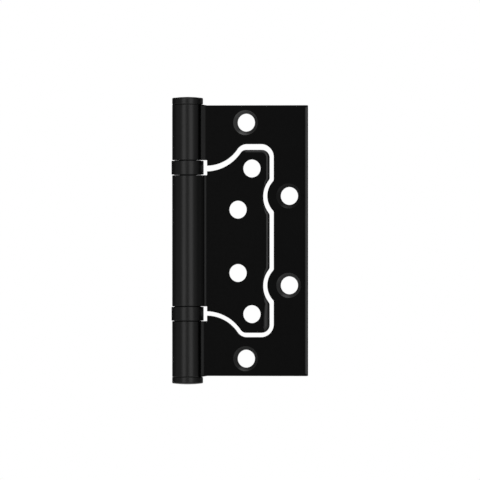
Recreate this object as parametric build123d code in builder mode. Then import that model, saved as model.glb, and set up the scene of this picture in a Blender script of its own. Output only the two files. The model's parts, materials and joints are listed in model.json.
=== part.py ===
from build123d import *
import math
import os

# Flush door hinge, folded shut: a C-shaped outer leaf with a window, an inner leaf that nests in the
# window, a pin through three rolled knuckles, two thrust bearings and two end caps.
# Millimetres. The pin stands on the Z axis with mid-height at the origin, the leaves reach along +X,
# and the outer leaf's countersunk face looks along -Y.

# Leaves
LEAF_HEIGHT = 100.0
LEAF_THICKNESS = 2.5
OUTER_REACH = 44.9  # pin axis to the outer leaf's free edge
FREE_EDGE_ROUND = 0.9  # mill edge, on the front of the outer leaf's free edge
PRESS_BREAK = 0.6  # the press's rounding along the inner leaf's front, as a chamfer
RELIEF_REACH = 7.5  # pin axis to the leaf edges beside the bearings

# Window in the outer leaf, and the inner leaf that fills it
SLOT_GAP = 1.85
END_RAIL = 14.35  # outer leaf left above and below the window
WINDOW_CORNER = 4.8
NECK_DROP = 2.05  # how far the window's shoulders come past the outer knuckles' ends
SHOULDER_START = 7.0  # pin axis to where each shoulder leaves the horizontal
SHOULDER_RADIUS = 14.0
SHOULDER_BLEND = 4.2
LOBE_RADIUS = 8.0  # outer leaf left round each edge screw
LOBE_RISE = 2.4  # how far a lobe stands into the window
LOBE_FILLET = 1.0
NOTCH_ROUND = 1.8  # corners of the inner leaf's notches

# Screw holes
SCREW_HOLE = 6.6
SCREW_HEAD = 9.2
SCREW_HEAD_ANGLE = 90.0
OUTER_END_SCREW_REACH = 21.9
OUTER_END_SCREW_MARGIN = 6.4  # from the outer leaf's top and bottom edges
OUTER_EDGE_SCREW_MARGIN = 6.9  # from the outer leaf's free edge
OUTER_EDGE_SCREW_SPACING = 33.0
INNER_END_SCREW_MARGIN = 6.9  # from the inner leaf's top and bottom edges
INNER_END_SCREW_INSET = 6.35  # from the inner leaf's free edge
INNER_MIDDLE_SCREW_REACH = 19.0
INNER_MIDDLE_SCREW_SPACING = 23.4

# Pin and rolled knuckles
PIN_DIAMETER = 6.3
PIN_CLEARANCE = 0.05
PIN_CHAMFER = 0.5
KNUCKLE_LENGTH = 20.65  # each of the outer leaf's two knuckles
KNUCKLE_OVERHANG = 0.4  # outer knuckles past the leaf's top and bottom edges
BEND_RADIUS = 0.4  # inside radius where the sheet turns out of the leaf's plane
OUTER_ROOT_ANGLE = 70.0  # from the face's normal round to where the outer leaf's sheet leaves its roll
INNER_ROOT_ANGLE = 54.0  # the same of the inner leaf
SEAM_ANGLE = 57.0  # from the face's normal round to the roll's free end
SEAM_ROUND = 0.6  # outer corner of the roll's free end

# End caps
CAP_HEIGHT = 2.75
CAP_FLAT_DIAMETER = 6.0
CAP_CROWN = 0.3  # fall from the flat to the rim
CAP_BREAK = 0.35
CAP_SPIGOT = 4.0
CAP_CLEARANCE = 0.02

# Thrust bearings
BEARING_HEIGHT = 5.4
CASING_DIAMETER = 11.9
CASING_WALL = 0.9
CASING_INSET = 0.15  # casing short of the races at each end
CASING_BREAK = 0.15
PRESS_CLEARANCE = 0.01
RACE_BORE_CLEARANCE = 0.1
RACE_RIM_CLEARANCE = 0.15
ROLLER_COUNT = 8
ROLLER_DIAMETER = 1.2
ROLLER_LENGTH = 1.1
ROLLER_CLEARANCE = 0.03
CAGE_THICKNESS = 0.7
CAGE_CLEARANCE = 0.08
END_PLAY = 0.2  # of the middle knuckle and both bearings, all told
LOADED_PLAY = 0.05  # of that, what is left at the lower bearing, which carries the door

# Sizes that follow
bore_radius = PIN_DIAMETER / 2 + PIN_CLEARANCE
knuckle_radius = bore_radius + LEAF_THICKNESS
half_leaf = LEAF_HEIGHT / 2
half_sheet = LEAF_THICKNESS / 2
barrel_end = half_leaf + KNUCKLE_OVERHANG
knuckle_face = barrel_end - KNUCKLE_LENGTH
middle_knuckle = 2 * (knuckle_face - BEARING_HEIGHT) - END_PLAY
inner_drop = END_PLAY / 2 - LOADED_PLAY
window_height = LEAF_HEIGHT - 2 * END_RAIL
edge_screw_reach = OUTER_REACH - OUTER_EDGE_SCREW_MARGIN
window_reach = edge_screw_reach - LOBE_RADIUS + LOBE_RISE
neck_half = knuckle_face - NECK_DROP
inner_reach = window_reach - SLOT_GAP
inner_height = window_height - 2 * SLOT_GAP
end_screw_z = half_leaf - OUTER_END_SCREW_MARGIN
edge_screw_z = OUTER_EDGE_SCREW_SPACING / 2
inner_end_screw_x = inner_reach - INNER_END_SCREW_INSET
inner_end_screw_z = inner_height / 2 - INNER_END_SCREW_MARGIN
inner_middle_screw_z = INNER_MIDDLE_SCREW_SPACING / 2
pin_half = barrel_end - CAP_SPIGOT
casing_bore = CASING_DIAMETER / 2 - CASING_WALL
race_bore = PIN_DIAMETER / 2 + RACE_BORE_CLEARANCE
race_gap = ROLLER_DIAMETER + 2 * ROLLER_CLEARANCE
race_thickness = (BEARING_HEIGHT - race_gap) / 2
roller_circle = (race_bore + casing_bore) / 2
upper_bearing = middle_knuckle / 2 - inner_drop + (knuckle_face - middle_knuckle / 2 + inner_drop) / 2
lower_bearing = -knuckle_face + (knuckle_face - middle_knuckle / 2 - inner_drop) / 2

os.makedirs("parts", exist_ok=True)


def write(piece, name):
    """Label a finished piece and write it as its own STEP file."""
    piece.part.label = name
    export_step(piece.part, f"parts/{name}.step")


def upright(height):
    """A plane through the pin axis whose own axes run along +X and +Z, at the given height."""
    return Plane(origin=(0, 0, height), x_dir=(1, 0, 0), z_dir=(0, -1, 0))


def window_outline(inset, lobe_round):
    """The window's outline drawn in by inset all round, in X and Z, with rounded lobe corners."""
    with BuildSketch() as outline:
        with Locations(((window_reach - inset) / 2, 0)):
            Rectangle(window_reach - inset, window_height - 2 * inset)
        with Locations((edge_screw_reach, edge_screw_z), (edge_screw_reach, -edge_screw_z)):
            Circle(LOBE_RADIUS + inset, mode=Mode.SUBTRACT)
        with Locations((0, neck_half + half_leaf), (0, -neck_half - half_leaf)):
            shoulder_width = 2 * (SHOULDER_START + SHOULDER_RADIUS + inset)
            RectangleRounded(
                shoulder_width,
                LEAF_HEIGHT + 2 * inset,
                SHOULDER_RADIUS + inset,
                mode=Mode.SUBTRACT,
            )
        rows = outline.vertices().group_by(Axis.Y)
        fillet([row.sort_by(Axis.X)[-1] for row in (rows[0], rows[-1])], WINDOW_CORNER - inset)
        rows = outline.vertices().group_by(Axis.Y)
        fillet([row.sort_by(Axis.X)[0] for row in (rows[0], rows[-1])], SHOULDER_BLEND - inset)
        free_edge = outline.vertices().group_by(Axis.X)[-1].sort_by(Axis.Y)
        fillet(free_edge[1:-1], lobe_round)
    return outline.sketch


def rolled_sheet(turn, root_angle):
    """Section of the leaf's root: the sheet turns out of its plane towards turn (+1 back, -1 front), runs
    straight on to the roll, wraps the pin the long way round and stops short of the other face, which
    leaves the seam."""
    lean = math.radians(root_angle)
    bend_reach = knuckle_radius + BEND_RADIUS
    run = (bend_reach * math.cos(lean) - half_sheet - BEND_RADIUS) / math.sin(lean)
    root = bend_reach * math.sin(lean) + run * math.cos(lean)
    centre = (root, half_sheet + BEND_RADIUS)
    sweep = 180 + root_angle + SEAM_ANGLE
    with BuildSketch() as section:
        with BuildLine():
            back = Line((RELIEF_REACH, half_sheet), (root, half_sheet))
            inside = CenterArc(centre, BEND_RADIUS, -90, -root_angle)
            outer = CenterArc((0, 0), knuckle_radius, 90 - root_angle, sweep)
            inner = CenterArc((0, 0), bore_radius, 90 - root_angle, sweep)
            outside = CenterArc(centre, BEND_RADIUS + LEAF_THICKNESS, -90, -root_angle)
            front = Line((root, -half_sheet), (RELIEF_REACH, -half_sheet))
            Line(inside @ 1, outer @ 0)
            Line(outside @ 1, inner @ 0)
            Line(outer @ 1, inner @ 1)
            Line(front @ 1, back @ 0)
        make_face()
        fillet(section.vertices().sort_by_distance(outer @ 1)[0], SEAM_ROUND)
        if turn < 0:
            mirror(about=Plane.XZ, mode=Mode.REPLACE)
    return section.sketch


# Outer leaf: a plate with the window, two knuckles and four holes countersunk from the front
with BuildPart() as outer_leaf:
    with BuildSketch(Plane.XZ):
        with Locations(((RELIEF_REACH + OUTER_REACH) / 2, 0)):
            Rectangle(OUTER_REACH - RELIEF_REACH, LEAF_HEIGHT)
        add(window_outline(0, LOBE_FILLET), mode=Mode.SUBTRACT)
    extrude(amount=half_sheet, both=True)
    free_edges = outer_leaf.edges().filter_by(Axis.Z).group_by(Axis.X)[-1]
    fillet(free_edges.sort_by(Axis.Y)[0], FREE_EDGE_ROUND)
    with BuildSketch(Plane.XY.offset(knuckle_face), Plane.XY.offset(-barrel_end)):
        add(rolled_sheet(1, OUTER_ROOT_ANGLE))
    extrude(amount=KNUCKLE_LENGTH)
    with BuildSketch(Plane.XZ):
        trim_width = RELIEF_REACH - knuckle_radius
        with Locations((knuckle_radius + trim_width / 2, 0)):
            with GridLocations(0, LEAF_HEIGHT + KNUCKLE_OVERHANG, 1, 2):
                Rectangle(trim_width, KNUCKLE_OVERHANG)
    extrude(amount=knuckle_radius, both=True, mode=Mode.SUBTRACT)
    with Locations(Plane.XZ.offset(half_sheet)):
        with Locations(
            (OUTER_END_SCREW_REACH, end_screw_z),
            (OUTER_END_SCREW_REACH, -end_screw_z),
            (edge_screw_reach, edge_screw_z),
            (edge_screw_reach, -edge_screw_z),
        ):
            CounterSinkHole(SCREW_HOLE / 2, SCREW_HEAD / 2, LEAF_THICKNESS, SCREW_HEAD_ANGLE)
write(outer_leaf, "outer_leaf")

# Inner leaf: hangs lower by the play that the door's weight takes up, countersunk from the back
with BuildPart() as inner_leaf:
    with BuildSketch(upright(-inner_drop)):
        add(window_outline(SLOT_GAP, NOTCH_ROUND))
        with Locations((RELIEF_REACH / 2, 0)):
            Rectangle(RELIEF_REACH, LEAF_HEIGHT, mode=Mode.SUBTRACT)
    extrude(amount=half_sheet, both=True)
    front_edges = inner_leaf.faces().sort_by(Axis.Y)[0].edges()
    beyond_relief = (False, True)
    chamfer(front_edges.filter_by_position(Axis.X, RELIEF_REACH, inner_reach, beyond_relief), PRESS_BREAK)
    with BuildSketch(Plane.XY.offset(-middle_knuckle / 2 - inner_drop)):
        add(rolled_sheet(-1, INNER_ROOT_ANGLE))
    extrude(amount=middle_knuckle)
    with Locations(Plane(origin=(0, half_sheet, -inner_drop), x_dir=(1, 0, 0), z_dir=(0, 1, 0))):
        with Locations(
            (inner_end_screw_x, inner_end_screw_z),
            (inner_end_screw_x, -inner_end_screw_z),
            (INNER_MIDDLE_SCREW_REACH, inner_middle_screw_z),
            (INNER_MIDDLE_SCREW_REACH, -inner_middle_screw_z),
        ):
            CounterSinkHole(SCREW_HOLE / 2, SCREW_HEAD / 2, LEAF_THICKNESS, SCREW_HEAD_ANGLE)
write(inner_leaf, "inner_leaf")

# Pin: fixed between the caps' spigots
with BuildPart() as hinge_pin:
    with BuildSketch(Plane.XY.offset(-pin_half)):
        Circle(PIN_DIAMETER / 2)
    extrude(amount=2 * pin_half)
    chamfer(hinge_pin.edges().filter_by(GeomType.CIRCLE), PIN_CHAMFER)
write(hinge_pin, "hinge_pin")

# End caps: a crowned head on a spigot that is pressed into the knuckle over the pin's end
for name, side in (("top_cap", 1), ("bottom_cap", -1)):
    with BuildPart() as cap:
        with BuildSketch(Plane.XZ):
            with BuildLine():
                spigot_radius = bore_radius - CAP_CLEARANCE
                spigot_end = side * (barrel_end - CAP_SPIGOT)
                seat = side * barrel_end
                crown = side * (barrel_end + CAP_HEIGHT)
                rim = crown - side * CAP_CROWN
                Polyline(
                    (0, crown),
                    (0, spigot_end),
                    (spigot_radius, spigot_end),
                    (spigot_radius, seat),
                    (knuckle_radius, seat),
                    (knuckle_radius, rim - side * CAP_BREAK),
                    (knuckle_radius - CAP_BREAK, rim),
                    (CAP_FLAT_DIAMETER / 2, crown),
                    close=True,
                )
            make_face()
        revolve(axis=Axis.Z)
    write(cap, name)

# Thrust bearings: two races with rollers in a cage between them, and a casing round the outside that is
# pressed on the lower race
for bearing, height in (("upper", upper_bearing), ("lower", lower_bearing)):
    with BuildPart() as casing:
        with BuildSketch(upright(height)):
            with Locations((casing_bore + CASING_WALL / 2, 0)):
                Rectangle(CASING_WALL, BEARING_HEIGHT - 2 * CASING_INSET)
        revolve(axis=Axis.Z)
        wall = casing.faces().filter_by(GeomType.CYLINDER).sort_by(SortBy.RADIUS)[-1]
        chamfer(wall.edges().filter_by(GeomType.CIRCLE), CASING_BREAK)
    write(casing, f"{bearing}_bearing_casing")

    for name, side, rim_clearance in (("top", 1, RACE_RIM_CLEARANCE), ("bottom", -1, PRESS_CLEARANCE)):
        with BuildPart() as race:
            with BuildSketch(upright(height)):
                width = casing_bore - rim_clearance - race_bore
                with Locations((race_bore + width / 2, side * (race_gap + race_thickness) / 2)):
                    Rectangle(width, race_thickness)
            revolve(axis=Axis.Z)
        write(race, f"{bearing}_bearing_{name}_race")

    with BuildPart() as cage:
        with BuildSketch(Plane.XY.offset(height - CAGE_THICKNESS / 2)):
            Circle(casing_bore - CAGE_CLEARANCE)
            Circle(race_bore, mode=Mode.SUBTRACT)
            with PolarLocations(roller_circle, ROLLER_COUNT):
                pocket_clearance = 2 * ROLLER_CLEARANCE
                Rectangle(
                    ROLLER_LENGTH + pocket_clearance,
                    ROLLER_DIAMETER + pocket_clearance,
                    mode=Mode.SUBTRACT,
                )
        extrude(amount=CAGE_THICKNESS)
    write(cage, f"{bearing}_bearing_cage")

    for number in range(1, ROLLER_COUNT + 1):
        outward = Vector(1, 0, 0).rotate(Axis.Z, 360 * (number - 1) / ROLLER_COUNT)
        centre = outward * roller_circle + Vector(0, 0, height)
        with BuildPart() as roller:
            with BuildSketch(Plane(origin=centre, z_dir=outward)):
                Circle(ROLLER_DIAMETER / 2)
            extrude(amount=ROLLER_LENGTH / 2, both=True)
        write(roller, f"{bearing}_bearing_roller_{number}")
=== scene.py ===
import json
import math

import bpy
import numpy as np
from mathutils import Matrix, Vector
from mathutils.geometry import tessellate_polygon


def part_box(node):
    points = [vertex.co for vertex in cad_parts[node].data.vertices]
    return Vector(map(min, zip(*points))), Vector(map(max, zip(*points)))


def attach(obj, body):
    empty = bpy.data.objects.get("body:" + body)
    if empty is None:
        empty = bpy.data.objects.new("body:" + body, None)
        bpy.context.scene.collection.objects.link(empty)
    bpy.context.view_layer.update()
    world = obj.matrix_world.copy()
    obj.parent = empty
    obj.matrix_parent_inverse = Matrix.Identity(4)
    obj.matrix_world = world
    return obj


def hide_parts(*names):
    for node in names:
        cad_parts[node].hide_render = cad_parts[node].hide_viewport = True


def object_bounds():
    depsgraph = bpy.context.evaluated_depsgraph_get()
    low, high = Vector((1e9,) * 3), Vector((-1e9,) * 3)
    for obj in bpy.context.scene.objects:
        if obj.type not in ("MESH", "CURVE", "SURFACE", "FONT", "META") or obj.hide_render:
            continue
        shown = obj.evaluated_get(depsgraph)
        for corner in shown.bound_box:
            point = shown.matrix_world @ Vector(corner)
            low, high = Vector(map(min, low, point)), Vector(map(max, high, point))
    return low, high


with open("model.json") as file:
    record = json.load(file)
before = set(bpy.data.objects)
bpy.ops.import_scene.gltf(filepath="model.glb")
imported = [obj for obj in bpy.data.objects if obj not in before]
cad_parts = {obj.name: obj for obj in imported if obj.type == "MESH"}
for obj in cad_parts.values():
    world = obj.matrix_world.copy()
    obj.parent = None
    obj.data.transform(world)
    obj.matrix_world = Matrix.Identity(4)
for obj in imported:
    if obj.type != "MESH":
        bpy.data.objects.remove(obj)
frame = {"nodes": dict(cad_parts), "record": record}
CAD_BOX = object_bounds()

bl_info = {
    "name": "Flush Door Hinge",
    "version": (1, 0, 0),
    "blender": (4, 5, 0),
    "location": "View3D > Sidebar > Hinge",
    "description": "Dresses the packed flush door hinge: coated leaves, caps, bearings and the studio",
    "category": "Object",
}

QUARTER = math.pi / 2

# Fineness of the meshes
ARC_STEP = math.radians(4.0)  # largest turn between two points of an arc
RUN_STEP = 0.001  # largest distance between two points of a dense straight run
SAME_WAY = 0.999  # two normals with a larger product belong to one straight run
ROUND_STEPS = 7  # rows across a rounded edge
TURN_STEPS = 120  # points round a circle
EDGE_STEPS = 60  # points down the outer leaf's free edge
ROOT_STEPS = 12  # points along a straight run at a knuckle's root
WELD_DIGITS = 8  # decimals of a metre to which points that meet agree

# Painted highlight on a rounded edge, which also raises its polish: it grows over these ranges of the
# normal's parts along the face and out of it
HIGHLIGHT_ALONG = (0.2, 0.4)
HIGHLIGHT_OUT = (0.5, 0.75)
HOLE_WALL_HIGHLIGHT = 1.0  # painted highlight and polish on a screw hole's straight wall

# Grain of the finishes
FLECK_SCALE = 0.35  # share of the grain's scale
PATCH_GRAINS = 40.0  # grains across a patch of tone
FLECK_RANGE = (0.3, 0.7)  # fleck values over which the roughness changes
ROUGH_SPREAD = 0.12  # how far it changes, down and up

# Studio
SOFTBOXES = (  # bearing from straight in front and elevation in degrees, width and height in metres
    ("left_softbox", -17.5, 0.0, 0.38, 1.3),
    ("right_softbox", 34.5, 0.0, 0.44, 1.3),
    ("top_softbox", 20.0, 75.0, 0.7, 0.5),
    ("rear_softbox", 140.0, 5.0, 0.5, 1.3),
)
SOFTBOX_AWAY = 0.9  # metres from a softbox to the hinge
REAR_BLEND = 0.35  # a ray's Y, ahead of and behind the hinge, over which the room dims


def length(name, description, default):
    """A bpy property for a length in metres."""
    return bpy.props.FloatProperty(
        name=name, description=description, default=default, min=0.0, precision=5, unit="LENGTH"
    )


def amount(name, description, default):
    """A bpy property for a plain number from 0 up."""
    return bpy.props.FloatProperty(name=name, description=description, default=default, min=0.0)


def angle(name, description, degrees):
    """A bpy property for an angle."""
    return bpy.props.FloatProperty(
        name=name, description=description, default=math.radians(degrees), subtype="ANGLE"
    )


def colour(name, description, default):
    """A bpy property for a linear colour."""
    return bpy.props.FloatVectorProperty(
        name=name, description=description, default=default, size=3, min=0.0, max=1.0, subtype="COLOR"
    )


class HingeSizes(bpy.types.PropertyGroup):
    """Sizes of the leaves, knuckles, caps and casings."""

    sheet: length("Sheet", "Thickness of both leaves", 0.0025)
    leaf_height: length("Leaf height", "Height of the outer leaf", 0.1)
    outer_reach: length("Outer reach", "Pin axis to the outer leaf's free edge", 0.0449)
    relief_reach: length("Relief reach", "Pin axis to the leaf edges beside the bearings", 0.0075)
    plan_corner: length("Plan corner", "Outer leaf's corners, seen from the front", 0.0003)
    crown_radius: length("Crown radius", "Outer leaf's face as it nears the free edge", 0.0029)
    crown_tilt: angle("Crown tilt", "Turn of that face at the free edge", 28.0)
    crown_fade: length("Crown fade", "Distance from the corners at which it is whole", 0.00048)
    cut_round: length("Cut round", "Rounding of the leaves' sheared edges", 0.00015)
    press_corner: length("Press corner", "Corner left on the inner leaf's front edge", 0.0006)
    press_radius: length("Press radius", "Inner leaf's face as the press draws it down", 0.0018)
    press_tilt: angle("Press tilt", "Turn of that face at the corner", 40.0)
    press_fade: length("Press fade", "Distance from a shoulder at which it is whole", 0.0011)
    notch_start: length("Notch start", "Distance from a notch's middle at which it starts", 0.0015)
    notch_grow: length("Notch grow", "Stretch over which it grows from there", 0.006)
    bottom_fade: length("Bottom fade", "Height above the bottom edge at which it is whole", 0.0009)
    low_press: length("Low press", "How much larger the press radius is at the bottom", 0.0022)
    low_grow: length("Low grow", "Stretch below the lower notch over which it grows", 0.013)
    slot_gap: length("Slot gap", "Gap between the two leaves", 0.00185)
    window_reach: length("Window reach", "Pin axis to the window's straight edge", 0.0324)
    window_half: length("Window half height", "Middle to the window's top edge", 0.03565)
    window_corner: length("Window corner", "Radius of the window's corners", 0.0048)
    neck_half: length("Neck half height", "Middle to the shoulders beside the barrel", 0.0277)
    shoulder_start: length("Shoulder start", "Pin axis to where a shoulder starts to curve", 0.007)
    shoulder_radius: length("Shoulder radius", "Radius of the window's shoulders", 0.014)
    shoulder_blend: length("Shoulder blend", "Radius between a shoulder and the top edge", 0.0042)
    lobe_radius: length("Lobe radius", "Sheet left round an edge screw", 0.008)
    lobe_fillet: length("Lobe fillet", "Radius where a lobe meets the window's edge", 0.001)
    notch_round: length("Notch round", "Radius of the inner leaf's notch corners", 0.0018)
    inner_drop: length("Inner drop", "How much lower the inner leaf hangs", 0.00005)
    sheet_drop: length("Sheet drop", "Inner leaf's sheet below its knuckle's middle", 0.0002)
    hole: length("Screw hole", "Diameter of the screw holes", 0.0066)
    head: length("Screw head", "Diameter of the countersinks", 0.0092)
    edge_screw_in: length("Edge screw in", "Outer leaf's free edge to its edge screws", 0.0069)
    edge_screw_up: length("Edge screw up", "Middle to the edge screws", 0.0165)
    end_screw_reach: length("End screw reach", "Pin axis to the outer leaf's end screws", 0.0219)
    end_screw_in: length("End screw in", "Outer leaf's top edge to its end screw", 0.0064)
    corner_screw_in: length("Corner screw in", "Inner leaf's straight edge to its screws", 0.00635)
    corner_screw_down: length("Corner screw down", "Inner leaf's top edge to its screw", 0.0069)
    middle_screw_reach: length("Middle screw reach", "Pin axis to the middle screws", 0.019)
    middle_screw_up: length("Middle screw up", "Middle to the middle screws", 0.0117)
    bore: length("Bore", "Radius of the knuckles' bore", 0.0032)
    outer_bend: length("Outer bend", "Inside of the bend at the outer leaf's roll", 0.00005)
    inner_bend: length("Inner bend", "Inside of the bend at the inner leaf's roll", 0.0004)
    outer_root: angle("Outer root", "Face's normal to where the outer leaf's roll ends", 70.0)
    inner_root: angle("Inner root", "Face's normal to where the inner leaf's roll ends", 50.0)
    seam_angle: angle("Seam angle", "Face's normal to the roll's free end", 58.0)
    seam_round: length("Seam round", "Outer corner of the roll's free end", 0.0005)
    seam_inner_round: length("Seam inner round", "Inner corner of the roll's free end", 0.0002)
    knuckle_face: length("Knuckle face", "Middle to the outer knuckles' inner ends", 0.02975)
    overhang: length("Overhang", "Outer knuckles past the leaf's edges", 0.0004)
    knuckle_round: length("Knuckle round", "Rounding of the knuckles' end edges", 0.0003)
    middle_knuckle: length("Middle knuckle", "Length of the inner leaf's knuckle", 0.0485)
    root_blend: length("Root blend", "Stretch from the barrel's form to the root's", 0.0006)
    cap_height: length("Cap height", "Height of a cap's head", 0.00275)
    cap_crown: length("Cap crown", "Fall of a cap's top from its middle to its rim", 0.00035)
    cap_round: length("Cap round", "Rounding of a cap's rim", 0.00045)
    cap_middle: length("Cap middle", "Radius of the flat spot in a cap's middle", 0.0004)
    spigot_length: length("Spigot length", "How far a cap goes into the bore", 0.004)
    spigot_gap: length("Spigot gap", "Clearance between a spigot and the bore", 0.00002)
    casing_wall: length("Casing wall", "Thickness of a casing's wall", 0.0009)
    casing_round: length("Casing round", "Rounding of a casing's outer edges", 0.0002)
    casing_inner_round: length("Casing inner round", "Rounding of its bore's edges", 0.00005)


class HingePolishAndPaintedLight(bpy.types.PropertyGroup):
    """How smooth the coating is on each piece, how much lighter grey is painted on its rims and in its
    countersinks as a highlight, and the painted shade in the inner knuckle's crease.
    """

    leaf_polish: amount("Leaf polish", "Smoothness of the leaves' faces", 0.02)
    barrel_polish: amount("Barrel polish", "Smoothness of the barrel, caps and casings", 0.77)
    # rim_polish_and_highlight smooths the leaves' rims and paints the lighter grey highlight on them
    rim_polish_and_highlight: amount("Rim polish", "Smoothness and rubbing of the leaves' rims", 0.8)
    upper_root: amount("Upper root", "Smoothness where the upper knuckle leaves the leaf", 0.33)
    lower_root: amount("Lower root", "Smoothness where the lower knuckle leaves the leaf", 0.42)
    inner_root: amount("Inner root", "Smoothness where the inner leaf's knuckle leaves it", 0.5)
    upper_root_edge: length("Upper root edge", "Pin axis to where that ends", 0.0071)
    lower_root_edge: length("Lower root edge", "Pin axis to where that ends", 0.0065)
    inner_root_edge: length("Inner root edge", "Pin axis to where that ends", 0.0074)
    root_fade: length("Root fade", "Stretch over which it fades", 0.0005)
    # crease takes the coating's polish away in the inner knuckle's crease, a painted shade
    crease: amount("Crease", "Dullness of the inner knuckle's crease", 1.0)
    crease_place: length("Crease place", "Pin axis to that crease", 0.0063)
    crease_half: length("Crease half", "Half the width of that crease", 0.00045)
    # Each hole value gives its countersink polish and the lighter grey painted into it as a highlight
    top_hole: amount("Top hole", "Rubbing in the outer leaf's top countersink", 1.55)
    bottom_hole: amount("Bottom hole", "Rubbing in its bottom countersink", 0.85)
    upper_hole: amount("Upper hole", "Rubbing in its upper one near the free edge", 0.42)
    lower_hole: amount("Lower hole", "Rubbing in its lower one near the free edge", 1.15)
    inner_hole: amount("Inner holes", "Rubbing in the inner leaf's countersinks", 1.3)


class HingeFinish(bpy.types.PropertyGroup):
    """Colours, roughness and grain of the coating, the steel and the nylon, and the lighter grey painted as
    a highlight on the leaves' rims and in their countersinks.
    """

    coat_dark: colour("Coating, dark", "Black coating", (0.0012, 0.0012, 0.0012))
    coat_light: colour("Coating, light", "Where it is a little thinner", (0.002, 0.002, 0.002))
    # painted highlight: the lighter grey on the leaves' rims and in their countersinks
    painted_highlight: colour("Rubbed edge", "Coating rubbed on edges and in countersinks", (0.04, 0.04, 0.04))
    coat_rough: amount("Coating roughness", "Roughness of the leaves' flat faces", 0.38)
    coat_shine: amount("Coating shine", "Reflection from the leaves' flat faces", 0.055)
    polish_rough: amount("Polish roughness", "Roughness of the barrel's smoother coating", 0.31)
    coat_grain: amount("Coating grain", "Scale of the coating's grain", 3000.0)
    coat_relief: length("Coating relief", "Height of the coating's grain", 0.000001)
    steel_light: colour("Steel, light", "Blackened bearing steel", (0.014, 0.014, 0.015))
    steel_dark: colour("Steel, dark", "Steel in the grinding marks", (0.009, 0.009, 0.01))
    steel_rough: amount("Steel roughness", "Roughness of the ground steel", 0.3)
    steel_grain: amount("Steel grain", "Scale of the grinding marks", 1500.0)
    steel_relief: length("Steel relief", "Height of the grinding marks", 0.000001)
    marks_round: amount("Marks round", "Stretch of the marks' scale across the pin axis", 0.15)
    marks_along: amount("Marks along", "Stretch of the marks' scale along the pin axis", 3.0)
    nylon_light: colour("Nylon, light", "Cage nylon", (0.62, 0.58, 0.48))
    nylon_dark: colour("Nylon, dark", "Nylon that grease has stained", (0.46, 0.41, 0.31))
    nylon_rough: amount("Nylon roughness", "Roughness of the cages", 0.5)
    nylon_grain: amount("Nylon grain", "Scale of the nylon's grain", 2500.0)
    nylon_relief: length("Nylon relief", "Height of the nylon's grain", 0.000002)


class HingeStage(bpy.types.PropertyGroup):
    """Camera, light levels, where 1 is white, and the floor."""

    azimuth: angle("Azimuth", "Camera round the pin from straight in front", 9.0)
    frame_width: length("Frame width", "Width of the view at the hinge", 0.1775)
    distance: length("Camera distance", "Camera to the hinge", 3.944)
    aim_across: length("Aim across", "Pin axis to the middle of the view", 0.01938)
    aim_up: length("Aim up", "Middle of the hinge to the middle of the view", 0.00024)
    left_level: amount("Left softbox", "Brightness of the left softbox", 1.15)
    right_level: amount("Right softbox", "Brightness of the right softbox", 1.15)
    top_level: amount("Top softbox", "Brightness of the softbox overhead", 1.4)
    back_level: amount("Rear softbox", "Brightness of the softbox behind", 0.12)
    room_level: amount("Room", "Brightness of the room in front, in reflections", 0.27)
    rear_level: amount("Rear of the room", "Brightness of its rear, in reflections", 0.04)
    fill_level: amount("Fill", "Brightness of the room on matt surfaces", 0.35)
    backdrop: angle("Backdrop", "Half the width of the white backdrop", 10.0)
    floor_drop: length("Floor drop", "Floor below the hinge", 0.06)
    floor_radius: length("Floor radius", "Radius of the floor", 0.32)
    floor_tone: colour("Floor", "Pale floor", (0.9, 0.9, 0.9))
    floor_rough: amount("Floor roughness", "Roughness of the floor", 0.8)


# Values over a surface


def mix(start, stop, step):
    """start where step is 0, stop where it is 1, and in between in proportion."""
    return start + step * (stop - start)


def ramp(value, start, stop):
    """A straight rise from 0 where value is start to 1 where it is stop."""
    return np.clip((value - start) / (stop - start), 0.0, 1.0)


def fade(distance, width):
    """A smooth step from 0 at no distance to 1 at width: 3 t^2 - 2 t^3 of the share t of the width."""
    part = ramp(distance, 0.0, width)
    return part * part * (3 - 2 * part)


# Outlines: runs of points with their normals


def arc(centre, radius, start, stop, side):
    """Points centre + radius (cos a, sin a) for a from start to stop, with normals side (cos a, sin a)."""
    count = max(3, int(abs(stop - start) / ARC_STEP) + 2)
    turn = np.linspace(start, stop, count)
    ray = np.stack((np.cos(turn), np.sin(turn)), axis=1)
    return np.asarray(centre) + radius * ray, side * ray


def dot(point, normal):
    """A single point of an outline with its normal."""
    return np.array([point], float), np.array([normal], float)


def straight(start, stop, normal):
    """ROOT_STEPS points spread evenly on a line from start to stop, all with one normal."""
    return np.linspace(start, stop, ROOT_STEPS), np.tile(normal, (ROOT_STEPS, 1))


def join(runs):
    """Runs of points and normals laid end to end: straight lines lie between them."""
    return np.concatenate([run[0] for run in runs]), np.concatenate([run[1] for run in runs])


def circle(radius=1.0, centre=(0.0, 0.0)):
    """TURN_STEPS points at centre + radius (cos a, sin a) all the way round."""
    turn = np.linspace(0.0, 2 * math.pi, TURN_STEPS, endpoint=False)
    return np.asarray(centre) + radius * np.stack((np.cos(turn), np.sin(turn)), axis=1)


def dense(outline):
    """A closed outline with points added along its straight runs, no further apart than RUN_STEP."""
    points, normals = outline
    ahead = np.roll(points, -1, axis=0) - points
    level = (normals * np.roll(normals, -1, axis=0)).sum(axis=1) > SAME_WAY
    count = np.where(level, np.ceil(np.linalg.norm(ahead, axis=1) / RUN_STEP), 1.0).astype(int)
    count = np.maximum(count, 1)
    index = np.repeat(np.arange(len(points)), count)
    way = (np.arange(len(index)) - np.repeat(np.cumsum(count) - count, count)) / count[index]
    return points[index] + way[:, None] * ahead[index], normals[index]


def hollows(sizes, inset):
    """The circles that the window's edge, drawn in by inset, follows round an edge screw and a shoulder."""
    screw = np.array((sizes.outer_reach - sizes.edge_screw_in, sizes.edge_screw_up))
    hub = np.array((sizes.shoulder_start, sizes.neck_half + sizes.shoulder_radius))
    return (screw, sizes.lobe_radius + inset), (hub, sizes.shoulder_radius + inset)


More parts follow.
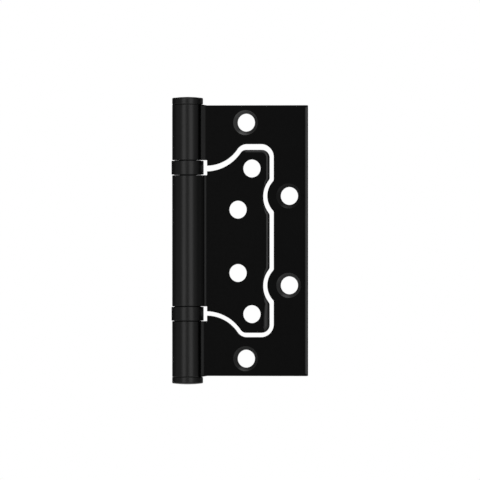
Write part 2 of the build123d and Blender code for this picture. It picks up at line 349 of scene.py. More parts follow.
def window_path(sizes, inset, lobe_round):
    """The window's edge drawn in by inset, in X and Z, from the lower shoulder round to the upper one.

    Every corner is an arc tangent to its two neighbours: a fillet of radius f beside a circle of radius R
    has its centre R + f from the circle's. Normals point out of the window."""
    edge = sizes.window_reach - inset
    top = sizes.window_half - inset
    (screw, lobe), (hub, shoulder) = hollows(sizes, inset)
    fillet_x = edge - lobe_round
    across = screw[0] - fillet_x
    rise = math.sqrt((lobe + lobe_round) ** 2 - across**2)
    lean = math.atan2(rise, across)
    corner = sizes.window_corner - inset
    blend = sizes.shoulder_blend - inset
    blend_z = top - blend
    blend_x = hub[0] + math.sqrt((shoulder + blend) ** 2 - (hub[1] - blend_z) ** 2)
    back = math.atan2(hub[1] - blend_z, hub[0] - blend_x)
    stop = -math.acos((sizes.relief_reach - hub[0]) / shoulder)
    points, normals = join(
        (
            arc((fillet_x, screw[1] - rise), lobe_round, 0.0, lean, 1),
            arc(screw, lobe, math.pi + lean, math.pi - lean, -1),
            arc((fillet_x, screw[1] + rise), lobe_round, -lean, 0.0, 1),
            arc((edge - corner, top - corner), corner, 0.0, QUARTER, 1),
            arc((blend_x, blend_z), blend, QUARTER, back, 1),
            arc(hub, shoulder, back - math.pi, stop, -1),
        )
    )
    normals[-1] = (0.0, 1.0)
    flip = np.array((1.0, -1.0))
    return np.concatenate((points[::-1] * flip, points)), np.concatenate((normals[::-1] * flip, normals))


def roll_path(sizes, turn, lean, bend):
    """Section of a rolled knuckle in X and Y: the sheet bends out of its plane towards turn and rolls up.

    The bend turns the sheet by lean, and a straight run on the roll's tangent joins the two. The path goes
    from one face over the bore and the free end, back over the outside to the other face."""
    half = sizes.sheet / 2
    outside = sizes.bore + sizes.sheet
    reach = outside + bend
    run = (reach * math.cos(lean) - half - bend) / math.sin(lean)
    hub = np.array((reach * math.sin(lean) + run * math.cos(lean), half + bend))
    end = 3 * QUARTER + sizes.seam_angle
    inner, outer = sizes.seam_inner_round, sizes.seam_round
    inner_turn = end - math.asin(inner / (sizes.bore + inner))
    outer_turn = end - math.asin(outer / (outside - outer))
    inner_hub = (sizes.bore + inner) * np.array((math.cos(inner_turn), math.sin(inner_turn)))
    outer_hub = (outside - outer) * np.array((math.cos(outer_turn), math.sin(outer_turn)))
    out = np.array((math.sin(lean), math.cos(lean)))
    foot = outside * out
    along = run * np.array((math.cos(lean), -math.sin(lean)))
    points, normals = join(
        (
            straight((sizes.relief_reach, -half), (hub[0], -half), (0.0, -1.0)),
            arc(hub, bend + sizes.sheet, -QUARTER, -QUARTER - lean, 1),
            arc((0.0, 0.0), sizes.bore, QUARTER - lean, inner_turn, -1),
            arc(inner_hub, inner, inner_turn + math.pi, end + QUARTER, 1),
            arc(outer_hub, outer, end + QUARTER, outer_turn, 1),
            arc((0.0, 0.0), outside, outer_turn, QUARTER - lean, 1),
            straight(foot, foot + along, out),
            arc(hub, bend, -QUARTER - lean, -QUARTER, -1),
            straight((hub[0], half), (sizes.relief_reach, half), (0.0, 1.0)),
        )
    )
    side = np.array((1.0, turn))
    return points * side, normals * side


# Surfaces


class Skin:
    """Gathers patches of a piece as whole arrays and turns them into one mesh with exact normals."""

    def __init__(self):
        self.points = []
        self.normals = []
        self.painted_rim_highlight = []
        self.polish = []
        self.faces = []

    def _take(self, points, normals, polish, painted_rim_highlight):
        """Keeps a patch's points, normals, polish and painted rim highlight, and gives its first point's
        number.
        """
        first = sum(map(len, self.points))
        self.points.append(points.reshape(-1, 3))
        self.normals.append(np.broadcast_to(normals, points.shape).reshape(-1, 3))
        self.painted_rim_highlight.append(np.broadcast_to(painted_rim_highlight, points.shape[:-1]).reshape(-1))
        self.polish.append(np.broadcast_to(polish, points.shape[:-1]).reshape(-1))
        return first

    def grid(self, points, normals, wrap, polish, painted_rim_highlight=0.0):
        """A patch of rows by columns: four neighbours make a face, and wrap joins the two end columns."""
        rows, columns = points.shape[:2]
        first = self._take(points, normals, polish, painted_rim_highlight)
        index = first + np.arange(rows * columns).reshape(rows, columns)
        if wrap:
            index = np.concatenate((index, index[:, :1]), axis=1)
        quads = np.stack((index[:-1, :-1], index[:-1, 1:], index[1:, 1:], index[1:, :-1]), axis=-1)
        self.faces.append(quads.reshape(-1, 4))

    def flat(self, loops, axes, normal, polish):
        """A flat patch inside the first loop and outside the others, cut into triangles in two axes."""
        outlines = [list(map(Vector, np.pad(loop[:, axes], ((0, 0), (0, 1))).tolist())) for loop in loops]
        triangles = np.array(tessellate_polygon(outlines), int)
        first = self._take(np.concatenate(loops), np.asarray(normal, float), polish, 0.0)
        self.faces.append(first + triangles)

    def build(self, name):
        """The mesh object: patches are welded where points meet, and a corner keeps its patch's normal.

        Faces are turned to agree with their normals, and corners that the weld brings together are dropped.
        The corner attribute rim says how much lighter grey is painted on as a highlight, and polish how
        smooth the coating is."""
        points = np.concatenate(self.points)
        normals = np.concatenate(self.normals)
        normals = normals / np.linalg.norm(normals, axis=1, keepdims=True)
        welded, home = np.unique(np.round(points, WELD_DIGITS), axis=0, return_inverse=True)
        home = home.reshape(-1)
        faces, corners = [], []
        for block in self.faces:
            spot = points[block]
            facing = np.cross(spot[:, 2] - spot[:, 0], spot[:, -1] - spot[:, 1])
            wrong = (facing * normals[block].sum(axis=1)).sum(axis=1) < 0
            block = np.where(wrong[:, None], block[:, ::-1], block)
            apart = home[block] != np.roll(home[block], 1, axis=1)
            for sides in (3, 4):
                whole = apart.sum(axis=1) == sides
                shape = block[whole][apart[whole]].reshape(-1, sides)
                faces.extend(home[shape].tolist())
                corners.append(shape.reshape(-1))
        corners = np.concatenate(corners)
        mesh = bpy.data.meshes.new(name)
        mesh.from_pydata(welded.tolist(), [], faces)
        mesh.polygons.foreach_set("use_smooth", np.ones(len(mesh.polygons), bool))
        # the rim attribute carries the painted highlight on edges and in countersinks
        for label, values in (("rim", self.painted_rim_highlight), ("polish", self.polish)):
            layer = mesh.attributes.new(label, "FLOAT", "CORNER")
            layer.data.foreach_set("value", np.concatenate(values)[corners].astype(np.float32))
        mesh.normals_split_custom_set(normals[corners].tolist())
        mesh.update()
        piece = bpy.data.objects.new(name, mesh)
        bpy.context.scene.collection.objects.link(piece)
        return piece


def stand(plan, depth, drop):
    """Points of a plan in X and Z stood up in space: depth is their Y, and drop lowers them."""
    return np.stack(np.broadcast_arrays(plan[..., 0], depth, plan[..., 1] - drop), axis=-1)


def at_height(plan, height):
    """Points of a plan in X and Y, all at one height."""
    return np.column_stack((plan, np.full(len(plan), height)))


def edge_rows(corner, radius, tilt):
    """Rows from a sheet's wall to its face: the way in from the wall, the depth below the face and the turn.

    A round of size corner turns the normal from the wall to tilt, and an arc of the given radius turns it on
    to the face: on a round of size r the way in is r (1 - sin t) and the depth is r (1 - cos t)."""
    step = np.linspace(0.0, 1.0, ROUND_STEPS)[:, None]
    turn = np.concatenate((mix(QUARTER, tilt, step), mix(tilt, 0.0, step)))
    first = np.maximum(turn, tilt)
    rest = np.minimum(turn, tilt)
    inset = corner * (1 - np.sin(first)) + radius * (np.sin(tilt) - np.sin(rest))
    depth = corner * (np.cos(tilt) - np.cos(first)) + radius * (1 - np.cos(rest))
    return inset, depth, turn


def plate(skin, sizes, polish_and_painted_light, outline, front, holes, sink_side, drop):
    """A sheet whose outline moves in as it nears each face, after edge_rows.

    front is the front edge's corner, radius and tilt, where corner and tilt go with the outline's points.
    The back edge has the cut's rounding. Holes are (x, z, sink_highlight), where sink_highlight sets the
    countersink's polish and the lighter grey painted into it as a highlight, and their countersinks are
    cones of 45 degrees, open in front where sink_side is -1 and behind where it is +1. drop lowers the
    sheet."""
    points, normals = outline
    half = sizes.sheet / 2
    plain = np.zeros(len(points))
    inset, depth, turn = edge_rows(*front)
    back_inset, back_depth, back_turn = edge_rows(plain + sizes.cut_round, 0.0, plain)
    inset = np.concatenate((inset[::-1], back_inset))
    depth = np.concatenate((depth[::-1] - half, half - back_depth))
    out = np.concatenate((-np.cos(turn[::-1]), np.cos(back_turn)))
    along = np.sin(np.concatenate((turn[::-1], back_turn)))
    rows = points - inset[..., None] * normals
    # painted highlight on the rounded edges through the rim attribute; the same amount raises their polish
    painted_rim_highlight = polish_and_painted_light.rim_polish_and_highlight * ramp(along, *HIGHLIGHT_ALONG) * ramp(np.abs(out), *HIGHLIGHT_OUT)
    rays = stand(along[..., None] * normals, out, 0.0)
    skin.grid(stand(rows, depth, drop), rays, True, np.maximum(polish_and_painted_light.leaf_polish, painted_rim_highlight), painted_rim_highlight)
    head, hole = sizes.head / 2, sizes.hole / 2
    for side, edge in ((-1, rows[0]), (1, rows[-1])):
        opening = head if side == sink_side else hole
        plans = [edge] + [circle(opening, (x, z)) for x, z, sink_highlight in holes]
        loops = [stand(plan, side * half, drop) for plan in plans]
        skin.flat(loops, (0, 2), (0.0, side, 0.0), polish_and_painted_light.leaf_polish)
    mouth = sink_side * half
    throat = sink_side * (half - head + hole)
    # each countersink and hole wall gets its amount both as polish and as painted highlight
    for x, z, sink_highlight in holes:
        for start, stop, wide, narrow, rise, painted_highlight in (
            (mouth, throat, head, hole, sink_side, sink_highlight),
            (throat, -mouth, hole, hole, 0.0, HOLE_WALL_HIGHLIGHT),
        ):
            plan = np.stack((circle(wide, (x, z)), circle(narrow, (x, z))))
            wall = stand(plan, np.array(((start,), (stop,))), drop)
            skin.grid(wall, stand(-circle(), rise, 0.0), True, painted_highlight, painted_highlight)


def knuckle(skin, sizes, polish_and_painted_light, section, ends, root_ends, root_round, root_finish, crease=0.0):
    """A rolled knuckle: the section swept along Z, with both ends rounded by quarter rounds.

    The end heights, rounding and polish glide from the barrel's to the root's with a smooth step in X.
    root_finish is the root's polish and the X at which it ends, and crease is the share of the polish that
    is taken away in the crease, as painted shade that darkens it there."""
    points, normals = section
    reach = points[:, 0]
    root_polish, root_edge = root_finish
    step = fade(reach - sizes.bore - sizes.sheet + sizes.root_blend, sizes.root_blend)
    gone = fade(reach - root_edge + polish_and_painted_light.root_fade, polish_and_painted_light.root_fade)
    # painted shade: the polish is taken away in the inner knuckle's crease so that it shows darker there
    painted_crease_shade = crease * (1 - fade(np.abs(reach - polish_and_painted_light.crease_place), polish_and_painted_light.crease_half))
    polish = mix(mix(polish_and_painted_light.barrel_polish, root_polish, step), polish_and_painted_light.leaf_polish, gone) * (1 - painted_crease_shade)
    size = mix(sizes.knuckle_round, root_round, step)
    rows, rays = [], []
    for side, end, root_end in zip((-1, 1), ends, root_ends):
        turn = np.linspace(0.0, QUARTER, ROUND_STEPS)[::side, None]
        plan = points - ((1 - np.cos(turn)) * size)[..., None] * normals
        height = mix(end, root_end, step) - side * (1 - np.sin(turn)) * size
        rows.append(np.concatenate((plan, height[..., None]), axis=-1))
        along = np.cos(turn)[..., None] * normals
        out = np.broadcast_to(side * np.sin(turn)[..., None], (*along.shape[:2], 1))
        rays.append(np.concatenate((along, out), axis=-1))
        rim = rows[-1][0 if side < 0 else -1]
        skin.flat([rim], (0, 1), (0.0, 0.0, side), polish_and_painted_light.barrel_polish)
    rows = np.concatenate(rows)
    skin.grid(rows, np.concatenate(rays), False, polish)
    root = np.concatenate((rows[:, 0], rows[::-1, -1]))
    skin.flat([root], (1, 2), (1.0, 0.0, 0.0), polish_and_painted_light.leaf_polish)


def around(pairs):
    """Pairs of (radius, height) carried round the pin axis: (radius cos a, radius sin a, height)."""
    level = pairs[:, :1, None] * circle()
    height = np.broadcast_to(pairs[:, 1:, None], (len(pairs), TURN_STEPS, 1))
    return np.concatenate((level, height), axis=-1)


def turned(skin, path, closed, polish):
    """A turned surface: a path of (radius, height) with normals, carried round the pin axis."""
    points, normals = path
    if closed:
        points = np.concatenate((points, points[:1]))
        normals = np.concatenate((normals, normals[:1]))
    skin.grid(around(points), around(normals), True, polish)


# Finishes


def node(tree, kind, place, **settings):
    """A shader node at a place in the tree, with its inputs or attributes set by name."""
    made = tree.nodes.new(kind)
    made.location = place
    for key, value in settings.items():
        if key in made.inputs:
            made.inputs[key].default_value = value
        else:
            setattr(made, key, value)
    return made


def wire(tree, *links):
    """Links (node, output, node, input), with the sockets by name or number."""
    for source, output, target, taken in links:
        tree.links.new(source.outputs[output], target.inputs[taken])


def remap(tree, place, taken, given, **settings):
    """A Map Range node that turns the range taken into the range given."""
    made = node(tree, "ShaderNodeMapRange", place, **settings)
    for socket, value in zip(("From Min", "From Max", "To Min", "To Max"), (*taken, *given)):
        made.inputs[socket].default_value = value
    return made


def mix_node(tree, place, kind, start=None, stop=None):
    """A Mix node for a colour or a number, with its two sides set where they are given."""
    made = node(tree, "ShaderNodeMix", place, data_type=kind)
    for socket, value in (("A", start), ("B", stop)):
        if value is not None:
            made.inputs[socket].default_value = value
    return made


def grain_group():
    """Fine grain of a finish: Height for a bump, Patch and Fleck for changes of tone."""
    group = bpy.data.node_groups.get("surface_grain")
    if group:
        return group
    group = bpy.data.node_groups.new("surface_grain", "ShaderNodeTree")
    group.interface.new_socket("Vector", in_out="INPUT", socket_type="NodeSocketVector")
    for name in ("Grain", "Patch"):
        group.interface.new_socket(name, in_out="INPUT", socket_type="NodeSocketFloat")
    for name in ("Height", "Patch", "Fleck"):
        group.interface.new_socket(name, in_out="OUTPUT", socket_type="NodeSocketFloat")
    start = node(group, "NodeGroupInput", (-600, 0))
    end = node(group, "NodeGroupOutput", (300, 0))
    fine = node(group, "ShaderNodeTexNoise", (-350, 200), Detail=3.0, Roughness=0.55)
    slow = node(group, "ShaderNodeTexNoise", (-350, -50), Detail=2.0, Roughness=0.5)
    flecks = node(group, "ShaderNodeTexNoise", (-350, -300), Detail=1.0, Roughness=0.6)
    coarse = node(group, "ShaderNodeMath", (-520, -300), operation="MULTIPLY")
    coarse.inputs[1].default_value = FLECK_SCALE
    height = node(group, "ShaderNodeMath", (-100, 150), operation="ADD")
    for texture in (fine, slow, flecks):
        wire(group, (start, "Vector", texture, "Vector"))
    wire(
        group,
        (start, "Grain", fine, "Scale"),
        (start, "Grain", coarse, 0),
        (coarse, 0, flecks, "Scale"),
        (start, "Patch", slow, "Scale"),
        (fine, "Fac", height, 0),
        (flecks, "Fac", height, 1),
        (height, 0, end, "Height"),
        (slow, "Fac", end, "Patch"),
        (flecks, "Fac", end, "Fleck"),
    )
    return group


def finish_material(name, kind, metallic=0.0, stretch=(1.0, 1.0, 1.0), painted_highlight=None):
    """A material from the finish values whose names start with kind.

    Tone and roughness drift with the grain group, and the grain lifts the surface. Where painted_highlight
    is given, the mesh's rim attribute mixes that lighter colour in along the edges and in the countersinks,
    as a painted highlight."""
    material = bpy.data.materials.get(name)
    if material:
        return material
    finish = bpy.context.scene.hinge_finish
    light, dark, rough, grain, relief = (
        getattr(finish, f"{kind}_{value}") for value in ("light", "dark", "rough", "grain", "relief")
    )
    material = bpy.data.materials.new(name)
    material.use_nodes = True
    tree = material.node_tree
    shader = tree.nodes["Principled BSDF"]
    shader.inputs["Metallic"].default_value = metallic
    place = node(tree, "ShaderNodeTexCoord", (-1100, 0))
    mapping = node(tree, "ShaderNodeMapping", (-900, 0), Scale=stretch)
    texture = node(tree, "ShaderNodeGroup", (-700, 0), node_tree=grain_group())
    texture.inputs["Grain"].default_value = grain
    texture.inputs["Patch"].default_value = grain / PATCH_GRAINS
    tone = mix_node(tree, (-450, 200), "RGBA", (*dark, 1.0), (*light, 1.0))
    given = (rough * (1 - ROUGH_SPREAD), rough * (1 + ROUGH_SPREAD))
    sheen = remap(tree, (-450, -100), FLECK_RANGE, given)
    bump = node(tree, "ShaderNodeBump", (-300, -350), Strength=1.0, Distance=relief)
    wire(
        tree,
        (place, "Object", mapping, "Vector"),
        (mapping, "Vector", texture, "Vector"),
        (texture, "Patch", tone, "Factor"),
        (texture, "Fleck", sheen, "Value"),
        (texture, "Height", bump, "Height"),
        (sheen, "Result", shader, "Roughness"),
        (bump, "Normal", shader, "Normal"),
    )
    base = tone
    # painted highlight: the lighter grey is mixed into the base colour where the rim attribute is set
    if painted_highlight is not None:
        rim = node(tree, "ShaderNodeAttribute", (-700, 450), attribute_name="rim")
        mask = node(tree, "ShaderNodeMath", (-450, 450), operation="MULTIPLY")
        painted_highlight_mix = mix_node(tree, (-200, 300), "RGBA", None, (*painted_highlight, 1.0))
        wire(
            tree,
            (rim, "Fac", mask, 0),
            (texture, "Patch", mask, 1),
            (mask, 0, painted_highlight_mix, "Factor"),
            (base, "Result", painted_highlight_mix, "A"),
        )
        base = painted_highlight_mix
    wire(tree, (base, "Result", shader, "Base Color"))
    return material


def coating():
    """Black coating: matt and finely grained, smoother where the mesh's polish attribute says so, and with a
    lighter grey painted on as a highlight where its rim attribute says so.
    """
    finish = bpy.context.scene.hinge_finish
    material = finish_material("coated_black", "coat", painted_highlight=finish.painted_highlight)
    tree = material.node_tree
    shader = tree.nodes["Principled BSDF"]
    if shader.inputs["Coat Weight"].is_linked:
        return material
    shader.inputs["Specular IOR Level"].default_value = finish.coat_shine
    shader.inputs["Coat Roughness"].default_value = finish.polish_rough
    polish = node(tree, "ShaderNodeAttribute", (-300, -600), attribute_name="polish")
    wire(tree, (polish, "Fac", shader, "Coat Weight"))
    return material


def ground_steel():
    """Blackened steel with fine grinding marks, drawn out round the pin axis."""
    finish = bpy.context.scene.hinge_finish
    stretch = (finish.marks_round, finish.marks_round, finish.marks_along)
    return finish_material("blackened_steel", "steel", metallic=1.0, stretch=stretch)


# Pieces


def settle(piece, body, nodes):
    """Give a finished coated piece its material in a slot and its body, and hide the CAD nodes that it
    stands for.
    """
    piece.data.materials.append(coating())
    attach(piece, body)
    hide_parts(*nodes)


class HINGE_OT_hidden_pieces(bpy.types.Operator):
    """Gives every CAD node its finish; the pin, races, rollers and cages keep their CAD shapes"""

    bl_idname = "hinge.hidden_pieces"
    bl_label = "Pin and bearings"

    def execute(self, context):
        nylon = finish_material("natural_nylon", "nylon")
        kinds = {"bearing_steel": ground_steel(), "cage_nylon": nylon, "black_coating": coating()}
        for entry in frame["record"]["subparts"]:
            piece = frame["nodes"][entry["node"]]
            piece.data.materials.clear()
            piece.data.materials.append(kinds[entry["material_slot"]])
        return {"FINISHED"}


class HINGE_OT_outer_leaf(bpy.types.Operator):
    """Builds the outer leaf: a C-shaped sheet with its window, countersunk holes and two rolled knuckles"""

    bl_idname = "hinge.outer_leaf"
    bl_label = "Outer leaf"

    def execute(self, context):
        sizes = context.scene.hinge_sizes
        polish_and_painted_light = context.scene.hinge_wear
        skin = Skin()
        half, reach = sizes.leaf_height / 2, sizes.outer_reach
        corner = sizes.plan_corner
        run = half - corner
        down = run * np.cos(np.linspace(0.0, math.pi, EDGE_STEPS))
        window, normals = window_path(sizes, 0.0, sizes.lobe_fillet)
        outline = join(
            (
                dot((sizes.relief_reach, half), (0.0, 1.0)),
                arc((reach - corner, run), corner, QUARTER, 0.0, 1),
                (np.stack((np.full(EDGE_STEPS, reach), down), axis=1), np.tile((1.0, 0.0), (EDGE_STEPS, 1))),
                arc((reach - corner, -run), corner, 0.0, -QUARTER, 1),
                dot((sizes.relief_reach, -half), (0.0, -1.0)),
                (window, -normals),
            )
        )
        edge_x = reach - sizes.edge_screw_in
        end_z = half - sizes.end_screw_in
        holes = (
            (sizes.end_screw_reach, end_z, polish_and_painted_light.top_hole),
            (sizes.end_screw_reach, -end_z, polish_and_painted_light.bottom_hole),
            (edge_x, sizes.edge_screw_up, polish_and_painted_light.upper_hole),
            (edge_x, -sizes.edge_screw_up, polish_and_painted_light.lower_hole),
        )
        across, up = outline[0].T
        crowned = np.isclose(across, reach) * fade(run - np.abs(up), sizes.crown_fade)
        front = (np.full(len(crowned), sizes.cut_round), sizes.crown_radius, crowned * sizes.crown_tilt)
        plate(skin, sizes, polish_and_painted_light, outline, front, holes, -1, 0.0)
        section = roll_path(sizes, 1.0, sizes.outer_root, sizes.outer_bend)
        face, end = sizes.knuckle_face, half + sizes.overhang
        for ends, root_ends, root_finish in (
            ((face, end), (face, half), (polish_and_painted_light.upper_root, polish_and_painted_light.upper_root_edge)),
            ((-end, -face), (-half, -face), (polish_and_painted_light.lower_root, polish_and_painted_light.lower_root_edge)),
        ):
            knuckle(skin, sizes, polish_and_painted_light, section, ends, root_ends, sizes.cut_round, root_finish)
        settle(skin.build("outer_leaf_sheet"), "outer_leaf", ["outer_leaf"])
        return {"FINISHED"}


class HINGE_OT_inner_leaf(bpy.types.Operator):
    """Builds the inner leaf: a sheet that nests in the window, with one long rolled knuckle"""

    bl_idname = "hinge.inner_leaf"
    bl_label = "Inner leaf"

    def execute(self, context):
        sizes = context.scene.hinge_sizes
        polish_and_painted_light = context.scene.hinge_wear
        skin = Skin()
        outline = dense(window_path(sizes, sizes.slot_gap, sizes.notch_round))
        top = sizes.window_half - sizes.slot_gap
        corner_x = sizes.window_reach - sizes.slot_gap - sizes.corner_screw_in
        corner_z = top - sizes.corner_screw_down
        places = ((corner_x, corner_z), (sizes.middle_screw_reach, sizes.middle_screw_up))
        holes = [(x, side * z, polish_and_painted_light.inner_hole) for x, z in places for side in (1, -1)]
        drop = sizes.inner_drop + sizes.sheet_drop
        plate(skin, sizes, polish_and_painted_light, outline, self.pressed_edge(sizes, outline[0], top), holes, 1, drop)
        low = -sizes.middle_knuckle / 2 - sizes.inner_drop
        ends = (low, low + sizes.middle_knuckle)
        section = roll_path(sizes, -1.0, sizes.inner_root, sizes.inner_bend)
        root_finish = (polish_and_painted_light.inner_root, polish_and_painted_light.inner_root_edge)
        knuckle(skin, sizes, polish_and_painted_light, section, ends, ends, sizes.knuckle_round, root_finish, polish_and_painted_light.crease)
        settle(skin.build("inner_leaf_sheet"), "inner_leaf", ["inner_leaf"])
        return {"FINISHED"}

    def pressed_edge(self, sizes, points, top):
        """Corner, radius and tilt of the front edge at each point.

        The press's rounding fades in the notches, on the shoulders and at the bottom edge, and its radius
        grows below the lower notch."""
        up = points[:, 1]
        mirrored = np.stack((points[:, 0], np.abs(up)), axis=1)
        (screw, lobe), (hub, shoulder) = hollows(sizes, sizes.slot_gap)
        along = np.linalg.norm(mirrored - screw + (lobe, 0.0), axis=1) - sizes.notch_start
        beside = np.linalg.norm(mirrored - hub, axis=1) - shoulder
        pressed = fade(along, sizes.notch_grow) * fade(beside, sizes.press_fade)
        pressed = pressed * fade(up + top, sizes.bottom_fade)
        radius = sizes.press_radius + sizes.low_press * fade(-up - screw[1], sizes.low_grow)
        return mix(sizes.cut_round, sizes.press_corner, pressed), radius, pressed * sizes.press_tilt


class HINGE_OT_end_caps(bpy.types.Operator):
    """Builds both end caps: a crowned head with a rounded rim on a spigot in the knuckle's bore"""

    bl_idname = "hinge.end_caps"
    bl_label = "End caps"

    def execute(self, context):
        sizes = context.scene.hinge_sizes
        polish = context.scene.hinge_wear.barrel_polish
        barrel = sizes.bore + sizes.sheet
        seat = sizes.leaf_height / 2 + sizes.overhang
        spigot = sizes.bore - sizes.spigot_gap
        edge = sizes.knuckle_round
        rim_z = sizes.cap_height - sizes.cap_crown
        rim_x = barrel - sizes.cap_round
        dome = (rim_x**2 + sizes.cap_crown**2) / (2 * sizes.cap_crown)
        lean = QUARTER - math.asin(rim_x / dome)
        points, normals = join(
            (
                dot((spigot, -sizes.spigot_length), (1.0, 0.0)),
                dot((spigot, 0.0), (1.0, 0.0)),
                dot((spigot, 0.0), (0.0, -1.0)),
                arc((barrel - edge, edge), edge, -QUARTER, 0.0, 1),
                arc((rim_x, rim_z - sizes.cap_round), sizes.cap_round, 0.0, lean, 1),
                arc((0.0, sizes.cap_height - dome), dome, lean, QUARTER - sizes.cap_middle / dome, 1),
            )
        )
        for side, name in ((1, "top"), (-1, "bottom")):
            skin = Skin()
            flip = np.array((1.0, side))
            path = points * flip + (0.0, side * seat)
            turned(skin, (path, normals * flip), False, polish)
            for (radius, height), facing in ((path[0], -side), (path[-1], side)):
                skin.flat([at_height(circle(radius), height)], (0, 1), (0.0, 0.0, facing), polish)
            settle(skin.build(f"{name}_cap_head"), "outer_leaf", [f"{name}_cap"])
        return {"FINISHED"}


class HINGE_OT_bearing_casings(bpy.types.Operator):
    """Builds the casing ring of each bearing with rounded edges"""

    bl_idname = "hinge.bearing_casings"
    bl_label = "Bearing casings"

    def execute(self, context):
        sizes = context.scene.hinge_sizes
        polish = context.scene.hinge_wear.barrel_polish
        for name, body in (("upper", "inner_leaf"), ("lower", "outer_leaf")):
            low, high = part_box(f"{name}_bearing_casing")
            outside = min(high.x, high.y, -low.x, -low.y)
            middle, half = (low.z + high.z) / 2, (high.z - low.z) / 2
            outer, inner = sizes.casing_round, sizes.casing_inner_round
            outer_x, outer_z = outside - outer, half - outer
            inner_x, inner_z = outside - sizes.casing_wall + inner, half - inner
            points, normals = join(
                (
                    arc((outer_x, outer_z), outer, 0.0, QUARTER, 1),
                    arc((inner_x, inner_z), inner, QUARTER, 2 * QUARTER, 1),
                    arc((inner_x, -inner_z), inner, 2 * QUARTER, 3 * QUARTER, 1),
                    arc((outer_x, -outer_z), outer, 3 * QUARTER, 4 * QUARTER, 1),
                )
            )
            skin = Skin()
            turned(skin, (points + (0.0, middle), normals), True, polish)
            settle(skin.build(f"{name}_bearing_ring"), body, [f"{name}_bearing_casing"])
        return {"FINISHED"}


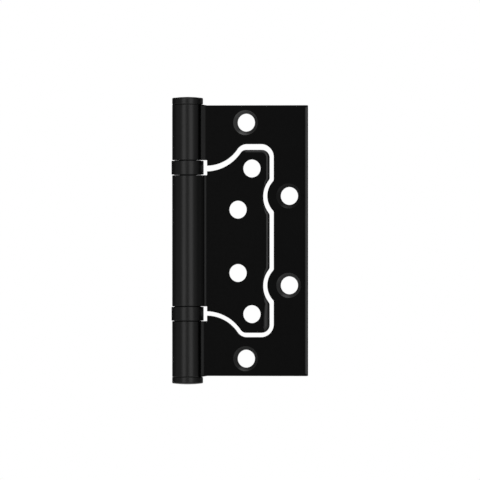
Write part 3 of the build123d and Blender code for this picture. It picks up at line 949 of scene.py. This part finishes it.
class HINGE_OT_stage(bpy.types.Operator):
    """Sets up the room, the floor, softboxes at the left, right, top and rear, and the camera"""

    bl_idname = "hinge.stage"
    bl_label = "Stage"

    def execute(self, context):
        scene = context.scene
        stage = scene.hinge_stage
        scene.view_settings.view_transform = "Standard"
        self.room(scene, stage)
        self.floor(stage)
        levels = (stage.left_level, stage.right_level, stage.top_level, stage.back_level)
        for (name, turn, rise, *size), level in zip(SOFTBOXES, levels):
            self.softbox(scene, name, math.radians(turn), math.radians(rise), size, level)
        self.camera(scene, stage)
        return {"FINISHED"}

    def room(self, scene, stage):
        """White for the camera; for reflections, a white backdrop in a room that is dimmer at the rear."""
        world = bpy.data.worlds.new("room")
        scene.world = world
        world.use_nodes = True
        world.cycles.sampling_method = "NONE"
        tree = world.node_tree
        light = tree.nodes["Background"]
        light.inputs["Color"].default_value = (1.0, 1.0, 1.0, 1.0)
        path = node(tree, "ShaderNodeLightPath", (-900, 300))
        ray = node(tree, "ShaderNodeTexCoord", (-1300, -200))
        axes = node(tree, "ShaderNodeSeparateXYZ", (-1100, -100))
        ahead = node(tree, "ShaderNodeVectorMath", (-1100, -350), operation="DOT_PRODUCT")
        ahead.inputs[1].default_value = (-math.sin(stage.azimuth), math.cos(stage.azimuth), 0.0)
        smooth = {"interpolation_type": "SMOOTHSTEP"}
        dimming = (stage.room_level, stage.rear_level)
        rear = remap(tree, (-900, -100), (-REAR_BLEND, REAR_BLEND), dimming, **smooth)
        backdrop = remap(tree, (-900, -350), (math.cos(stage.backdrop), 1.0), (0.0, 1.0), **smooth)
        walls = mix_node(tree, (-650, -200), "FLOAT", None, 1.0)
        shiny = node(tree, "ShaderNodeMath", (-650, 100), operation="MAXIMUM")
        seen = mix_node(tree, (-400, 0), "FLOAT", stage.fill_level)
        plain = mix_node(tree, (-200, 100), "FLOAT", None, 1.0)
        wire(
            tree,
            (ray, "Generated", axes, "Vector"),
            (ray, "Generated", ahead, 0),
            (axes, "Y", rear, "Value"),
            (ahead, "Value", backdrop, "Value"),
            (rear, "Result", walls, "A"),
            (backdrop, "Result", walls, "Factor"),
            (path, "Is Glossy Ray", shiny, 0),
            (path, "Is Transmission Ray", shiny, 1),
            (shiny, 0, seen, "Factor"),
            (walls, "Result", seen, "B"),
            (path, "Is Camera Ray", plain, "Factor"),
            (seen, "Result", plain, "A"),
            (plain, "Result", light, "Strength"),
        )

    def floor(self, stage):
        """A pale round floor a little below the hinge: a circle filled at one height."""
        skin = Skin()
        disc = at_height(circle(stage.floor_radius), CAD_BOX[0][2] - stage.floor_drop)
        skin.flat([disc], (0, 1), (0.0, 0.0, 1.0), 0.0)
        piece = skin.build("floor")
        material = bpy.data.materials.new("pale_floor")
        material.use_nodes = True
        shader = material.node_tree.nodes["Principled BSDF"]
        shader.inputs["Base Color"].default_value = (*stage.floor_tone, 1.0)
        shader.inputs["Roughness"].default_value = stage.floor_rough
        piece.data.materials.append(material)

    def softbox(self, scene, name, turn, rise, size, level):
        """An area light at a bearing from straight in front and an elevation; level 1 looks white."""
        lamp = bpy.data.lights.new(name, "AREA")
        lamp.shape = "RECTANGLE"
        lamp.size, lamp.size_y = size
        lamp.energy = level * math.pi * lamp.size * lamp.size_y
        box = bpy.data.objects.new(name, lamp)
        flat = math.cos(rise)
        out = Vector((flat * math.sin(turn), -flat * math.cos(turn), math.sin(rise)))
        box.location = SOFTBOX_AWAY * out
        box.rotation_euler = (QUARTER - rise, 0.0, turn)
        scene.collection.objects.link(box)

    def camera(self, scene, stage):
        """A long lens that looks level at the middle of the hinge."""
        data = bpy.data.cameras.new("camera")
        data.lens = data.sensor_width * stage.distance / stage.frame_width
        view = bpy.data.objects.new("camera", data)
        out = Vector((math.sin(stage.azimuth), -math.cos(stage.azimuth), 0.0))
        across = Vector((math.cos(stage.azimuth), math.sin(stage.azimuth), 0.0))
        aim = across * stage.aim_across + Vector((0.0, 0.0, stage.aim_up))
        view.location = aim + out * stage.distance
        view.rotation_euler = (QUARTER, 0.0, stage.azimuth)
        scene.collection.objects.link(view)
        scene.camera = view


class HINGE_PT_panel(bpy.types.Panel):
    """Lists the hinge's pieces, its stage and their values"""

    bl_idname = "HINGE_PT_panel"
    bl_label = "Flush door hinge"
    bl_space_type = "VIEW_3D"
    bl_region_type = "UI"
    bl_category = "Hinge"

    def draw(self, context):
        for step in STEPS:
            self.layout.operator(step.bl_idname)
        for name in GROUPS:
            group = getattr(context.scene, name)
            box = self.layout.box()
            for key in group.__annotations__:
                box.prop(group, key)


GROUPS = {
    "hinge_sizes": HingeSizes,
    "hinge_wear": HingePolishAndPaintedLight,
    "hinge_finish": HingeFinish,
    "hinge_stage": HingeStage,
}
STEPS = (
    HINGE_OT_hidden_pieces,
    HINGE_OT_outer_leaf,
    HINGE_OT_inner_leaf,
    HINGE_OT_end_caps,
    HINGE_OT_bearing_casings,
    HINGE_OT_stage,
)
CLASSES = (*GROUPS.values(), *STEPS, HINGE_PT_panel)


def register():
    for item in CLASSES:
        bpy.utils.register_class(item)
    for name, group in GROUPS.items():
        setattr(bpy.types.Scene, name, bpy.props.PointerProperty(type=group))


def unregister():
    for name in GROUPS:
        delattr(bpy.types.Scene, name)
    for item in reversed(CLASSES):
        bpy.utils.unregister_class(item)


def main():
    """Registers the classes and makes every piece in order."""
    register()
    for step in STEPS:
        family, name = step.bl_idname.split(".")
        getattr(getattr(bpy.ops, family), name)()


if __name__ == "__main__":
    main()
